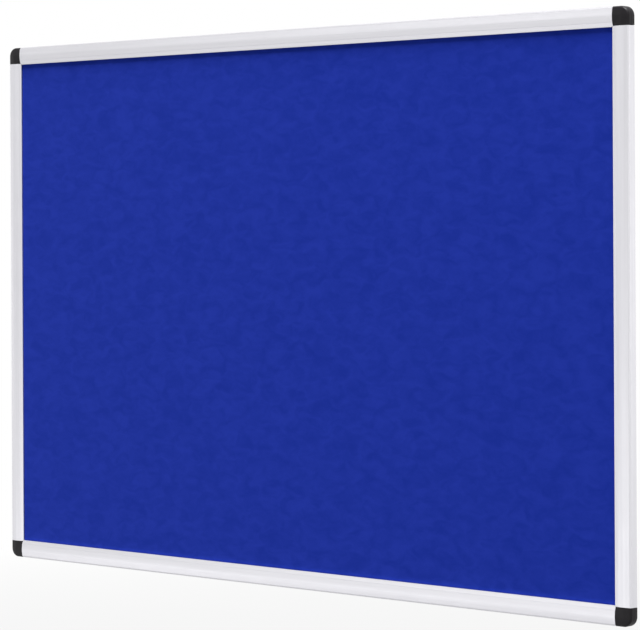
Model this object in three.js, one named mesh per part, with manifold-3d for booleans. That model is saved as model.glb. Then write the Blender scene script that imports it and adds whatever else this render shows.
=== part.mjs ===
// Framed fabric notice board, landscape, hung on a wall by its four corners.
// Millimetres. The back of the frame lies in the plane y = 0, the front faces -Y and +Z is up.
// The origin is the middle of the back.
//
// Rails and corners are drawn once in a frame of their own and turned to their four places:
// u runs in from the outer edge, v stands out from the wall, and a and b run in from the two
// outer edges that meet at a corner.

import * as THREE from 'three';
import { mergeVertices } from 'three/addons/utils/BufferGeometryUtils.js';
import Module from 'manifold-3d';

const wasm = await Module();
wasm.setup();

// Board
const BOARD_WIDTH = 900;
const BOARD_HEIGHT = 600;

// Panel: felt on soft fibreboard on a thin steel sheet
const FELT_THICKNESS = 1.2;
const CORE_THICKNESS = 3.6;
const SHEET_THICKNESS = 0.3;
const BOND_LINE = 0.3;
const SEAT_GAP = 0.3;
const PANEL_EDGE_GAP = 0.5;

// Rail section
const RAIL_WIDTH = 20;
const RAIL_WALL = 1.3;
const CHAMBER_WIDTH = 11.4;
const REAR_LIP = 1.0;
const REAR_LIP_CUTBACK = 1.5;
const CROWN_OVER_FELT = 4.0;
const CROWN_FROM_EDGE = 9;
const OUTER_FALL = 0.7;
const INNER_FALL = 0.5;
const FALL_POWER = 1.4;
const EDGE_RADIUS = 2.6;
const BACK_CHAMFER = 0.4;
const BEVEL_WIDTH = 4.2;
const GROOVE_WIDTH = 0.5;
const GROOVE_DEPTH = 0.25;
const LIP_THICKNESS = 1.2;
const NOSE_HEIGHT = 1.8;
const NOSE_WIDTH = 1.3;
const NOSE_ROUND = 0.35;

// Corners
const CORNER_SIZE = 18.8;
const CORNER_RADIUS = 8;
const JOINT_GAP = 0.3;
const MITRE_GAP = 0.3;
const BASE_HEIGHT = 5.4;
const BASE_WALL = 2.4;
const BASE_INNER_WALL = 1.8;
const BASE_FLOOR = 1.6;
const RIM_HEIGHT = 1.0;
const COVER_WALL = 1.2;
const COVER_TOP = 1.3;
const COVER_FIT = 0.3;
const PANEL_NOTCH_WALL = 1.6;

// Corner arms, which plug into the rails
const ARM_LENGTH = 44;
const ARM_FIT = 0.3;
const ARM_CORES = 3;
const ARM_RIB = 2.4;
const ARM_SKIN = 2.0;
const ARM_TIP = 5;
const ARM_TIP_SHARE = 0.86;

// Wall screw hole in a corner base
const HOLE_FROM_EDGE = 8.6;
const HOLE_RADIUS = 2.5;
const SINK_RADIUS = 4.3;
const BOSS_RADIUS = 5.2;
const BOSS_HEIGHT = 4.0;

// Clip legs under a corner cover
const LEG_WIDTH = 4.6;
const LEG_THICKNESS = 1.2;
const LEG_FROM_EDGE = 6.4;
const LEG_FLOOR_GAP = 0.8;
const SNAP_RADIUS = 0.5;
const SNAP_PROUD = 0.2;
const SNAP_OVER_FLOOR = 2.6;
const SNAP_END = 0.5;

// Rear screws
const SCREW_RADIUS = 1.45;
const SCREW_LENGTH = 6.5;
const SCREW_TIP = 1.8;
const SCREW_HEAD_RADIUS = 2.7;
const SCREW_HEAD_HEIGHT = 1.5;
const SCREW_HEAD_EDGE = 0.25;
const SCREW_SUNK = 0.15;
const SCREW_FIT = 0.3;

// One overrun for every cut
const OVERRUN = 1;

// Facets
const ARC_STEPS = 5;
const CORNER_STEPS = 8;
const FLANK_STEPS = 4;
const HOLE_SEGMENTS = 24;
const SCREW_SEGMENTS = 16;
const WELD_SHARE = 1e-7;

// Heights over the wall that follow from the stack
const sheetBack = REAR_LIP + SEAT_GAP;
const coreBack = sheetBack + SHEET_THICKNESS + BOND_LINE;
const feltBack = coreBack + CORE_THICKNESS + BOND_LINE;
const feltFace = feltBack + FELT_THICKNESS;
const noseFoot = feltFace + SEAT_GAP;
const noseTop = noseFoot + NOSE_HEIGHT;
const railDepth = feltFace + CROWN_OVER_FELT;

// Places across the rail
const chamberEnd = RAIL_WALL + CHAMBER_WIDTH;
const channelStart = chamberEnd + RAIL_WALL;
const panelEdge = channelStart + PANEL_EDGE_GAP;
const bevelStart = RAIL_WIDTH - BEVEL_WIDTH;
const grooveStart = bevelStart - GROOVE_WIDTH;
const noseStart = RAIL_WIDTH - NOSE_ROUND;

// Places along an arm. Its screw goes into the first rib between two cores.
const coresStart = CORNER_SIZE + JOINT_GAP + ARM_RIB;
const corePitch = (ARM_LENGTH - JOINT_GAP - ARM_RIB) / ARM_CORES;
const screwAlong = coresStart + corePitch - ARM_RIB / 2;
const screwAcross = (RAIL_WALL + chamberEnd) / 2;

const anodised = () => new THREE.MeshStandardMaterial({ color: 0xdedee2, roughness: 0.42, metalness: 0.85 });
const blackPlastic = () => new THREE.MeshStandardMaterial({ color: 0x1b191d, roughness: 0.5, metalness: 0 });
const blueFelt = () => new THREE.MeshStandardMaterial({ color: 0x1c3298, roughness: 0.95, metalness: 0 });
const fibreboard = () => new THREE.MeshStandardMaterial({ color: 0x9a8262, roughness: 0.9, metalness: 0 });
const galvanised = () => new THREE.MeshStandardMaterial({ color: 0xa9adb0, roughness: 0.5, metalness: 0.8 });
const zincPlate = () => new THREE.MeshStandardMaterial({ color: 0xc4c6c8, roughness: 0.35, metalness: 0.9 });

// Solids and geometry

function solid(geometry, place = new THREE.Matrix4()) {
  const bare = geometry.clone().applyMatrix4(place);
  bare.deleteAttribute('normal');
  bare.deleteAttribute('uv');
  const merged = mergeVertices(bare, BOARD_WIDTH * WELD_SHARE);
  const mirrored = place.determinant() < 0;
  const triangles = [];
  for (let i = 0; i < merged.index.count; i += 3) {
    const [p, q, r] = [0, 1, 2].map((k) => merged.index.getX(i + k));
    if (p !== q && q !== r && r !== p) {
      triangles.push(...(mirrored ? [p, r, q] : [p, q, r]));
    }
  }
  return new wasm.Manifold(new wasm.Mesh({
    numProp: 3,
    vertProperties: merged.attributes.position.array,
    triVerts: Uint32Array.from(triangles),
  }));
}

function geometryOf(manifold) {
  const mesh = manifold.getMesh();
  const geometry = new THREE.BufferGeometry();
  geometry.setAttribute('position', new THREE.BufferAttribute(mesh.vertProperties, 3));
  geometry.setIndex(new THREE.BufferAttribute(mesh.triVerts, 1));
  geometry.computeVertexNormals();
  return geometry;
}

function shapeOf(points) {
  return new THREE.Shape(points.map(([x, y]) => new THREE.Vector2(x, y)));
}

function extruded(shape, depth) {
  return new THREE.ExtrudeGeometry(shape, { depth, bevelEnabled: false, curveSegments: CORNER_STEPS });
}

// A (u, v) section runs along X, with u up and v towards the front.
function alongX(start) {
  const turn = new THREE.Matrix4().makeBasis(
    new THREE.Vector3(0, 0, 1),
    new THREE.Vector3(0, -1, 0),
    new THREE.Vector3(1, 0, 0),
  );
  return turn.premultiply(new THREE.Matrix4().makeTranslation(start, 0, 0));
}

// An (a, b) plan stands out from the wall, from a height over it.
function standing(height) {
  const turn = new THREE.Matrix4().makeRotationX(Math.PI / 2);
  return turn.premultiply(new THREE.Matrix4().makeTranslation(0, -height, 0));
}

// A (radius, height over the wall) half outline revolved on an axis that stands out from the wall.
function revolved(outline, segments) {
  const points = outline.map(([radius, v]) => new THREE.Vector2(radius, -v));
  return new THREE.LatheGeometry(points.reverse(), segments);
}

function revolvedAt(a, b, outline, segments) {
  return solid(revolved(outline, segments), new THREE.Matrix4().makeTranslation(a, 0, b));
}

// Swaps a and b, which mirrors a shape on the corner's diagonal.
const acrossDiagonal = new THREE.Matrix4().makeBasis(
  new THREE.Vector3(0, 0, 1),
  new THREE.Vector3(0, 1, 0),
  new THREE.Vector3(1, 0, 0),
);

function mirroredPair(geometry, place) {
  const first = solid(geometry, place);
  return first.add(solid(geometry, place.clone().premultiply(acrossDiagonal)));
}

function block(aSpan, vSpan, bSpan) {
  const [a0, a1] = aSpan;
  const [b0, b1] = bSpan;
  const [v0, v1] = vSpan;
  const plan = shapeOf([[a0, b0], [a1, b0], [a1, b1], [a0, b1]]);
  return solid(extruded(plan, v1 - v0), standing(v0));
}

// Rail section

// Height of the rail's face over the wall. It falls from a crown to the edge and to the bevel.
function faceHeight(u) {
  if (u < CROWN_FROM_EDGE) {
    const share = (CROWN_FROM_EDGE - u) / (CROWN_FROM_EDGE - EDGE_RADIUS);
    return railDepth - OUTER_FALL * Math.min(share, 1) ** FALL_POWER;
  }
  const share = (u - CROWN_FROM_EDGE) / (grooveStart - CROWN_FROM_EDGE);
  return railDepth - INNER_FALL * share ** FALL_POWER;
}

// Points across the face, from the side wall to a place short of the groove, sunk by an offset.
function faceLine(offset, end) {
  const points = [];
  const radius = EDGE_RADIUS - offset;
  const centre = faceHeight(EDGE_RADIUS) - EDGE_RADIUS;
  for (let i = 0; i <= ARC_STEPS; i += 1) {
    const angle = (Math.PI / 2) * (i / ARC_STEPS);
    points.push([EDGE_RADIUS - radius * Math.cos(angle), centre + radius * Math.sin(angle)]);
  }
  for (const [from, to] of [[EDGE_RADIUS, CROWN_FROM_EDGE], [CROWN_FROM_EDGE, end]]) {
    for (let i = 1; i <= FLANK_STEPS; i += 1) {
      const u = from + (to - from) * (i / FLANK_STEPS);
      points.push([u, faceHeight(u) - offset]);
    }
  }
  return points;
}

// Height of the bevel, which falls from the groove to the nose.
function bevelHeight(u) {
  const top = faceHeight(grooveStart) - GROOVE_DEPTH / 2;
  const share = (u - bevelStart) / (noseStart - bevelStart);
  return top + share * (noseTop - top);
}

// From the groove at the foot of the face, down the bevel and round the nose that grips the felt.
function lipLine() {
  return [
    [grooveStart + GROOVE_WIDTH / 2, faceHeight(grooveStart) - GROOVE_DEPTH],
    [bevelStart, bevelHeight(bevelStart)],
    [noseStart, noseTop],
    [RAIL_WIDTH, noseTop - NOSE_ROUND],
    [RAIL_WIDTH, noseFoot],
  ];
}

// Back along the lip's underside, from the turned-down nose to the channel.
function lipUnderside() {
  const noseBack = RAIL_WIDTH - NOSE_WIDTH;
  const root = bevelHeight(bevelStart) - LIP_THICKNESS;
  return [
    [noseBack, noseFoot],
    [noseBack, bevelHeight(noseBack) - LIP_THICKNESS],
    [bevelStart, root],
    [channelStart, root],
  ];
}

function railSection() {
  const rearLipEnd = RAIL_WIDTH - REAR_LIP_CUTBACK;
  const outline = [
    [0, BACK_CHAMFER],
    ...faceLine(0, grooveStart),
    ...lipLine(),
    ...lipUnderside(),
    [channelStart, REAR_LIP],
    [rearLipEnd, REAR_LIP],
    [rearLipEnd, 0],
    [BACK_CHAMFER, 0],
  ];
  const shape = shapeOf(outline.reverse());
  const chamber = [[RAIL_WALL, RAIL_WALL], ...faceLine(RAIL_WALL, chamberEnd), [chamberEnd, RAIL_WALL]];
  shape.holes.push(new THREE.Path(chamber.map(([x, y]) => new THREE.Vector2(x, y))));
  return shape;
}

// The section of a corner arm: the chamber less a fit all round.
function armSection() {
  const inset = RAIL_WALL + ARM_FIT;
  const end = chamberEnd - ARM_FIT;
  const outline = [[inset, inset], ...faceLine(inset, end), [end, inset]];
  return shapeOf(outline.reverse());
}

// What an end of a rail loses: the corner's square, and past it the mitre of the two lips.
function railEndCut(length) {
  const cut = CORNER_SIZE + JOINT_GAP;
  const mitre = MITRE_GAP * Math.SQRT1_2;
  const past = RAIL_WIDTH + OVERRUN;
  const plan = shapeOf([
    [-OVERRUN, -OVERRUN],
    [cut, -OVERRUN],
    [cut, cut - mitre],
    [past, past - mitre],
    [past, past],
    [-OVERRUN, past],
  ]);
  const place = standing(-OVERRUN).premultiply(new THREE.Matrix4().makeTranslation(-length / 2, 0, 0));
  const flip = new THREE.Matrix4().makeScale(-1, 1, 1);
  const cutter = extruded(plan, railDepth + 2 * OVERRUN);
  return solid(cutter, place).add(solid(cutter, place.clone().premultiply(flip)));
}

// Screws

// Half outline of a countersunk screw, from the middle of its head to its tip, grown by a fit.
function screwOutline(grow) {
  const head = SCREW_HEAD_HEIGHT;
  const shank = SCREW_LENGTH - SCREW_TIP;
  return [
    [0, 0],
    [SCREW_HEAD_RADIUS + grow, 0],
    [SCREW_HEAD_RADIUS + grow, SCREW_HEAD_EDGE],
    [SCREW_RADIUS + grow, head],
    [SCREW_RADIUS + grow, shank],
    [0, SCREW_LENGTH + grow],
  ];
}

// The hole that a rear screw needs: its own outline with a fit, opened past the back.
function screwHole(a, b) {
  const outline = [[0, -OVERRUN], [SCREW_HEAD_RADIUS + SCREW_FIT, -OVERRUN]];
  outline.push(...screwOutline(SCREW_FIT).slice(1).map(([x, y]) => [x, y + SCREW_SUNK]));
  return revolvedAt(a, b, outline, SCREW_SEGMENTS);
}

function screw() {
  const outline = screwOutline(0).map(([x, y]) => [x, y + SCREW_SUNK]);
  return revolved(outline, SCREW_SEGMENTS);
}

// Rails

function rail(length) {
  const body = solid(extruded(railSection(), length), alongX(-length / 2));
  let cut = body.subtract(railEndCut(length));
  for (const side of [-1, 1]) {
    cut = cut.subtract(screwHole(side * (length / 2 - screwAlong), screwAcross));
  }
  return geometryOf(cut);
}

// Corner bases

// Plan of a corner, pulled in by an inset: a round outer corner and a notch for the panel's corner.
function cornerPlan(outer, inner, notch) {
  const far = CORNER_SIZE - inner;
  const radius = CORNER_RADIUS - outer;
  const plan = new THREE.Shape();
  plan.moveTo(outer + radius, outer);
  plan.lineTo(far, outer);
  if (notch < far) {
    plan.lineTo(far, notch);
    plan.lineTo(notch, notch);
    plan.lineTo(notch, far);
  } else {
    plan.lineTo(far, far);
  }
  plan.lineTo(outer, far);
  plan.lineTo(outer, outer + radius);
  plan.absarc(CORNER_RADIUS, CORNER_RADIUS, radius, Math.PI, 1.5 * Math.PI, false);
  return plan;
}

function cylinder(radius, [from, to], a, b) {
  return revolvedAt(a, b, [[0, from], [radius, from], [radius, to], [0, to]], HOLE_SEGMENTS);
}

// The wall screw's hole, with its cone in the top of the boss.
function wallScrewHole() {
  const coneFoot = BOSS_HEIGHT - (SINK_RADIUS - HOLE_RADIUS);
  const outline = [
    [0, -OVERRUN],
    [HOLE_RADIUS, -OVERRUN],
    [HOLE_RADIUS, coneFoot],
    [SINK_RADIUS, BOSS_HEIGHT],
    [SINK_RADIUS, BOSS_HEIGHT + OVERRUN],
    [0, BOSS_HEIGHT + OVERRUN],
  ];
  return revolvedAt(HOLE_FROM_EDGE, HOLE_FROM_EDGE, outline, HOLE_SEGMENTS);
}

// The pockets moulded into an arm's front, which leave ribs between them.
function armCores() {
  const low = RAIL_WALL + ARM_FIT + ARM_SKIN;
  const high = chamberEnd - ARM_FIT - ARM_SKIN;
  const post = SCREW_RADIUS + SCREW_FIT + ARM_SKIN;
  let cores = null;
  for (let i = 0; i < ARM_CORES; i += 1) {
    const from = coresStart + i * corePitch;
    const to = from + corePitch - ARM_RIB;
    let core = block([from, to], [low, railDepth], [low, high]);
    core = core.subtract(cylinder(post, [0, railDepth], screwAlong, screwAcross));
    cores = cores ? cores.add(core) : core;
  }
  return cores;
}

function bothWays(manifold) {
  return manifold.add(solid(geometryOf(manifold), acrossDiagonal));
}

// An arm's end, drawn in towards its middle so that it finds the rail's chamber.
function armTip(section) {
  const geometry = extruded(section, ARM_TIP);
  const middle = new THREE.Box2().setFromPoints(section.getPoints()).getCenter(new THREE.Vector2());
  const position = geometry.attributes.position;
  for (let i = 0; i < position.count; i += 1) {
    if (position.getZ(i) > ARM_TIP / 2) {
      position.setX(i, middle.x + (position.getX(i) - middle.x) * ARM_TIP_SHARE);
      position.setY(i, middle.y + (position.getY(i) - middle.y) * ARM_TIP_SHARE);
    }
  }
  return geometry;
}

// Both arms. Each starts as the wall of the pocket and runs on into its rail.
function arms() {
  const section = armSection();
  const straight = ARM_LENGTH + BASE_INNER_WALL - ARM_TIP;
  const shafts = mirroredPair(extruded(section, straight), alongX(pocketWall));
  return shafts.add(mirroredPair(armTip(section), alongX(pocketWall + straight)));
}

const pocketWall = CORNER_SIZE - BASE_INNER_WALL;
const legFace = pocketWall - COVER_FIT;

// A rod along each leg's outer face: a snap ridge on the leg and, grown by the fit, its groove.
function snapRods(grow) {
  const radius = SNAP_RADIUS + grow;
  const width = LEG_WIDTH - 2 * SNAP_END + 2 * grow;
  const rod = new THREE.Shape();
  rod.absarc(legFace + SNAP_PROUD - SNAP_RADIUS, -(BASE_FLOOR + SNAP_OVER_FLOOR), radius, 0, 2 * Math.PI);
  const place = new THREE.Matrix4().makeTranslation(0, 0, LEG_FROM_EDGE - width / 2);
  return mirroredPair(extruded(rod, width), place);
}

function cornerBase() {
  const plan = cornerPlan(0, 0, channelStart);
  const rim = cornerPlan(COVER_WALL + COVER_FIT, BASE_INNER_WALL / 2, channelStart);
  const pocket = cornerPlan(BASE_WALL, BASE_INNER_WALL, channelStart - PANEL_NOTCH_WALL);
  let base = solid(extruded(plan, BASE_HEIGHT), standing(0));
  base = base.add(solid(extruded(rim, BASE_HEIGHT + RIM_HEIGHT), standing(0)));
  base = base.add(arms());
  base = base.subtract(solid(extruded(pocket, railDepth), standing(BASE_FLOOR)));
  const boss = cylinder(BOSS_RADIUS, [0, BOSS_HEIGHT], HOLE_FROM_EDGE, HOLE_FROM_EDGE);
  base = base.add(boss).subtract(wallScrewHole());
  base = base.subtract(bothWays(armCores()));
  base = base.subtract(bothWays(screwHole(screwAlong, screwAcross)));
  base = base.subtract(snapRods(COVER_FIT));
  return geometryOf(base);
}

// Corner covers

// Carries a closed (distance from the edge, height) section round the outer corner.
// Past the corner's radius the path is a sharp mitre.
function roundedSweep(section, reach) {
  const corner = (d, angle) => {
    const radius = Math.max(CORNER_RADIUS - d, 0);
    const centre = Math.max(CORNER_RADIUS, d);
    return [centre - radius * Math.sin(angle), centre - radius * Math.cos(angle)];
  };
  const stations = [(d) => [reach, d]];
  for (let i = 0; i <= CORNER_STEPS; i += 1) {
    stations.push((d) => corner(d, (Math.PI / 2) * (i / CORNER_STEPS)));
  }
  stations.push((d) => [d, reach]);
  const positions = [];
  for (const station of stations) {
    for (const [d, v] of section) {
      const [a, b] = station(d);
      positions.push(a, -v, b);
    }
  }
  const count = section.length;
  const index = [];
  for (let i = 0; i + 1 < stations.length; i += 1) {
    for (let j = 0; j < count; j += 1) {
      const k = (j + 1) % count;
      const [here, there] = [i * count, (i + 1) * count];
      index.push(here + j, there + j, there + k);
      index.push(here + j, there + k, here + k);
    }
  }
  const flat = section.map(([d, v]) => new THREE.Vector2(d, v));
  const last = (stations.length - 1) * count;
  for (const [p, q, r] of THREE.ShapeUtils.triangulateShape(flat, [])) {
    index.push(p, q, r);
    index.push(last + p, last + r, last + q);
  }
  const geometry = new THREE.BufferGeometry();
  geometry.setAttribute('position', new THREE.Float32BufferAttribute(positions, 3));
  geometry.setIndex(index);
  return geometry;
}

// The face and lip lines cut off where the corner ends.
function cornerTop() {
  const line = [...faceLine(0, grooveStart), ...lipLine()];
  const kept = line.filter(([u]) => u < CORNER_SIZE);
  const [lastU, lastV] = kept[kept.length - 1];
  const [nextU, nextV] = line[kept.length];
  const share = (CORNER_SIZE - lastU) / (nextU - lastU);
  return [...kept, [CORNER_SIZE, lastV + (nextV - lastV) * share]];
}

function coverLegs() {
  const foot = BASE_FLOOR + LEG_FLOOR_GAP;
  const head = faceHeight(LEG_FROM_EDGE - LEG_WIDTH / 2) - COVER_TOP / 2;
  const half = LEG_WIDTH / 2;
  const section = shapeOf([
    [LEG_FROM_EDGE - half, foot + LEG_THICKNESS / 2],
    [LEG_FROM_EDGE - half + LEG_THICKNESS / 2, foot],
    [LEG_FROM_EDGE + half - LEG_THICKNESS / 2, foot],
    [LEG_FROM_EDGE + half, foot + LEG_THICKNESS / 2],
    [LEG_FROM_EDGE + half, head],
    [LEG_FROM_EDGE - half, head],
  ]);
  const legs = mirroredPair(extruded(section, LEG_THICKNESS), alongX(legFace - LEG_THICKNESS));
  return legs.add(snapRods(0));
}

function cornerCover() {
  const parting = BASE_HEIGHT + COVER_FIT;
  const top = cornerTop();
  const outer = [[0, parting], ...top, [CORNER_SIZE, parting]].reverse();
  const far = CORNER_SIZE + OVERRUN;
  const under = faceLine(COVER_TOP, channelStart).filter(([u]) => u > COVER_WALL);
  const inner = [
    [COVER_WALL, parting - OVERRUN],
    [COVER_WALL, under[0][1]],
    ...under,
    [bevelStart, bevelHeight(bevelStart) - COVER_TOP],
    [far, bevelHeight(far) - COVER_TOP],
    [far, parting - OVERRUN],
  ].reverse();
  let cover = solid(roundedSweep(outer, CORNER_SIZE));
  cover = cover.subtract(solid(roundedSweep(inner, far)));
  cover = cover.add(coverLegs());
  return geometryOf(cover);
}

// Assembly

const board = new THREE.Group();

function named(name, geometry, material) {
  const mesh = new THREE.Mesh(geometry, material);
  mesh.name = name;
  return mesh;
}

const sides = [
  { name: 'bottom', turn: 0, length: BOARD_WIDTH, x: 0, z: -BOARD_HEIGHT / 2 },
  { name: 'left', turn: 1, length: BOARD_HEIGHT, x: -BOARD_WIDTH / 2, z: 0 },
  { name: 'top', turn: 2, length: BOARD_WIDTH, x: 0, z: BOARD_HEIGHT / 2 },
  { name: 'right', turn: 3, length: BOARD_HEIGHT, x: BOARD_WIDTH / 2, z: 0 },
];

const corners = [
  { name: 'bottom_left', turn: 0, x: -BOARD_WIDTH / 2, z: -BOARD_HEIGHT / 2 },
  { name: 'top_left', turn: 1, x: -BOARD_WIDTH / 2, z: BOARD_HEIGHT / 2 },
  { name: 'top_right', turn: 2, x: BOARD_WIDTH / 2, z: BOARD_HEIGHT / 2 },
  { name: 'bottom_right', turn: 3, x: BOARD_WIDTH / 2, z: -BOARD_HEIGHT / 2 },
];

function turned({ turn, x, z }) {
  const group = new THREE.Group();
  group.rotation.y = turn * (Math.PI / 2);
  group.position.set(x, 0, z);
  board.add(group);
  return group;
}

for (const side of sides) {
  turned(side).add(named(`${side.name}_rail`, rail(side.length), anodised()));
}

const baseGeometry = cornerBase();
const coverGeometry = cornerCover();
const screwGeometry = screw();

for (const corner of corners) {
  const group = turned(corner);
  group.add(named(`${corner.name}_base`, baseGeometry, blackPlastic()));
  group.add(named(`${corner.name}_cover`, coverGeometry, blackPlastic()));
  const places = [[screwAlong, screwAcross], [screwAcross, screwAlong]];
  places.forEach(([a, b], i) => {
    const mesh = named(`${corner.name}_screw_${i + 1}`, screwGeometry, zincPlate());
    mesh.position.set(a, 0, b);
    group.add(mesh);
  });
}

function panelLayer(name, thickness, back, material) {
  const width = BOARD_WIDTH - 2 * panelEdge;
  const height = BOARD_HEIGHT - 2 * panelEdge;
  const mesh = named(name, new THREE.BoxGeometry(width, thickness, height), material);
  mesh.position.y = -(back + thickness / 2);
  board.add(mesh);
}

panelLayer('backing_sheet', SHEET_THICKNESS, sheetBack, galvanised());
panelLayer('fibreboard_core', CORE_THICKNESS, coreBack, fibreboard());
panelLayer('felt_facing', FELT_THICKNESS, feltBack, blueFelt());

export default board;
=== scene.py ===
# A framed felt notice board that hangs on a wall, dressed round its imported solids.
# Metres. The back lies in y = 0, the front faces -Y, +Z is up, and the origin is the middle of
# the back.
#
# Rails and corner pieces are drawn once in a frame of their own and turned to their places: u
# runs in from the outer edge, v stands out from the wall, and a and b run in from the two outer
# edges that meet at a corner.

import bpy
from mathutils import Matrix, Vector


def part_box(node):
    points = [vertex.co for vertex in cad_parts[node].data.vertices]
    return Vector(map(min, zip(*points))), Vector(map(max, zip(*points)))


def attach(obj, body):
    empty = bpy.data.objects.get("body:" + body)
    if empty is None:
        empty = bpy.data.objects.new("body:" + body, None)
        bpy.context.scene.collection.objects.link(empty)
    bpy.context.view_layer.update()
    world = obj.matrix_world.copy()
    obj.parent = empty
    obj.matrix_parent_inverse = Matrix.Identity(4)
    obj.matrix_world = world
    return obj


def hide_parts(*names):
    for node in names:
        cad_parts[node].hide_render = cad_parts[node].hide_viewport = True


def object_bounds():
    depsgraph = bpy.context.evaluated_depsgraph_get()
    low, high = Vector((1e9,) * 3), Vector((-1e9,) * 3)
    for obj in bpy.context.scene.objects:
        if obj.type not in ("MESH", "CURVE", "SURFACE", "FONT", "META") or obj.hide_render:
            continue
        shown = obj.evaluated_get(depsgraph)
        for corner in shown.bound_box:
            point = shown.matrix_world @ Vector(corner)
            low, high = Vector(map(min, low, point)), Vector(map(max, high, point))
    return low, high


bl_info = {
    "name": "Felt Notice Board",
    "version": (1, 0, 0),
    "blender": (4, 5, 0),
    "location": "View3D > Sidebar > Notice Board",
    "description": "Makes a framed felt notice board round its solids, with its stage",
    "category": "Object",
}

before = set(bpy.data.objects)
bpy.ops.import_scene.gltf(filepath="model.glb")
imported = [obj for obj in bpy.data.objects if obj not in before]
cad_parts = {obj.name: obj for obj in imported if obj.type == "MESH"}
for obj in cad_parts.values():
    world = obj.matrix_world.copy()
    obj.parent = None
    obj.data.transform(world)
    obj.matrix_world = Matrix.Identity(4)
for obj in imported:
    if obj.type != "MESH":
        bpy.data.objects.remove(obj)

import math

import bmesh
import bpy
from bpy.props import FloatProperty, FloatVectorProperty, IntProperty, PointerProperty
from mathutils import Matrix, Vector, noise

PHOTO_WIDTH, PHOTO_HEIGHT = 640, 630

board_low, board_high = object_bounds()
felt_low, felt_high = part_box("felt_facing")
cover_low, cover_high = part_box("bottom_left_cover")

# Steps and segments of the rounds
ARC_STEPS = 12
FLANK_STEPS = 12
LIP_STEPS = 6
CORNER_STEPS = 24
EASE_STEPS = 3
HOLE_SEGMENTS = 64
SCREW_SEGMENTS = 32
THREAD_STEPS = 48
# Mesh lines beside a rail in the felt, and how many of them go to one width of its swell
SWELL_LINES = 9
SWELL_STEPS = 3
# Points closer together than this are one
WELD = 1e-7
# An outline turns at least this much at a corner that gets a round, and a mesh at a sharp edge
SHARP_TURN = math.radians(35)
SMOOTH_TURN = math.radians(42)
# Radius of an outline's rounds for each unit of ease, and how many such rounds fit along an edge
FILLET = 1.3
ROUNDS_ON_EDGE = 2.2
# Where the bevel leaves the rail's groove, and the bow of its floor, as shares of its depth
GROOVE_FOOT = 0.5
GROOVE_BOW = 0.75
# Width of a thread's flank as a share of its pitch, and how bluntly the screw's point narrows
FLANK_SHARE = 0.25
POINT_POWER = 0.7
# Roughness, spacing and number of the layers of the felt's ripple
RIPPLE_LAYERS = (0.9, 2.1, 4)

# Name and quarter turns of each side and corner
SIDES = [("bottom", 0), ("left", 1), ("top", 2), ("right", 3)]
CORNERS = [("bottom_left", 0), ("top_left", 1), ("top_right", 2), ("bottom_right", 3)]
# Ways from the board's middle to the origin of a side's own frame and of a corner's
TO_SIDE = (0, 0, -1)
TO_CORNER = (-1, 0, -1)


# Sizes and colours


def size(name, description, default):
    return FloatProperty(
        name=name, description=description, default=default, min=0.0,
        precision=4, unit="LENGTH", subtype="DISTANCE",
    )


def number(name, description, default):
    return FloatProperty(name=name, description=description, default=default, min=0.0)


def share(name, description, default):
    return FloatProperty(
        name=name, description=description, default=default, min=0.0, max=1.0, subtype="FACTOR",
    )


def angle(name, description, degrees):
    return FloatProperty(
        name=name, description=description, default=math.radians(degrees), subtype="ANGLE",
    )


def colour(name, description, default):
    return FloatVectorProperty(
        name=name, description=description, default=default,
        size=3, min=0.0, max=1.0, subtype="COLOR",
    )


class PanelSizes(bpy.types.PropertyGroup):
    """The felt-covered panel, which the rails hold by its edges"""
    width: size("Width", "Overall width of the board", board_high.x - board_low.x)
    height: size("Height", "Overall height of the board", board_high.z - board_low.z)
    felt_back: size("Felt back", "Height of the felt's back over the wall", -felt_high.y)
    felt_face: size("Felt face", "Height of the felt's face over the wall", -felt_low.y)
    felt_cell: size("Felt cell", "Step of the felt's mesh", 0.004)
    felt_lift: size("Felt lift", "How far the felt swells beside the rail's nose", 0.0001)
    felt_swell: size("Felt swell", "Width of the felt's swell beside the nose", 0.002)
    felt_ripple: size("Felt ripple", "Height of the felt's soft unevenness", 0.00006)
    ripple_length: size("Ripple length", "Length of the felt's soft unevenness", 0.045)


class RailSizes(bpy.types.PropertyGroup):
    """Section of the extruded aluminium rail"""
    width: size("Width", "Width of the rail's face", 0.020)
    depth: size("Depth", "Height of the rail's crown over the wall", -board_low.y)
    wall: size("Wall", "Wall of the extrusion", 0.0013)
    chamber: size("Chamber", "Width of the chamber that takes the corner's arm", 0.0114)
    rear_lip: size("Rear lip", "Thickness of the lip behind the panel", 0.001)
    rear_cutback: size("Rear cutback", "How far the rear lip stops short of the front one", 0.0015)
    crown: size("Crown", "Distance of the face's crown from the outer edge", 0.009)
    outer_fall: size("Outer fall", "Fall of the face from its crown to the outer edge", 0.0007)
    inner_fall: size("Inner fall", "Fall of the face from its crown to the groove", 0.0005)
    fall_power: number("Fall power", "How late the face starts to fall", 1.4)
    edge_radius: size("Edge radius", "Radius of the outer edge", 0.0026)
    back_chamfer: size("Back chamfer", "Chamfer of the edge against the wall", 0.0004)
    bevel: size("Bevel", "Width of the bevel beside the felt", 0.0042)
    groove_width: size("Groove width", "Width of the groove between face and bevel", 0.0005)
    groove_depth: size("Groove depth", "Depth of the groove between face and bevel", 0.00025)
    lip_thickness: size("Lip thickness", "Thickness of the lip under its bevel", 0.0012)
    nose_height: size("Nose height", "Height of the turned-down nose that grips the felt", 0.0018)
    nose_width: size("Nose width", "Width of the nose's foot", 0.0013)
    nose_round: size("Nose round", "Radius of the nose", 0.00035)
    nose_gap: size("Nose gap", "Gap between the nose and the felt", 0.0003)
    ease: size("Ease", "Radius of the deburred edges", 0.00012)


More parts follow.
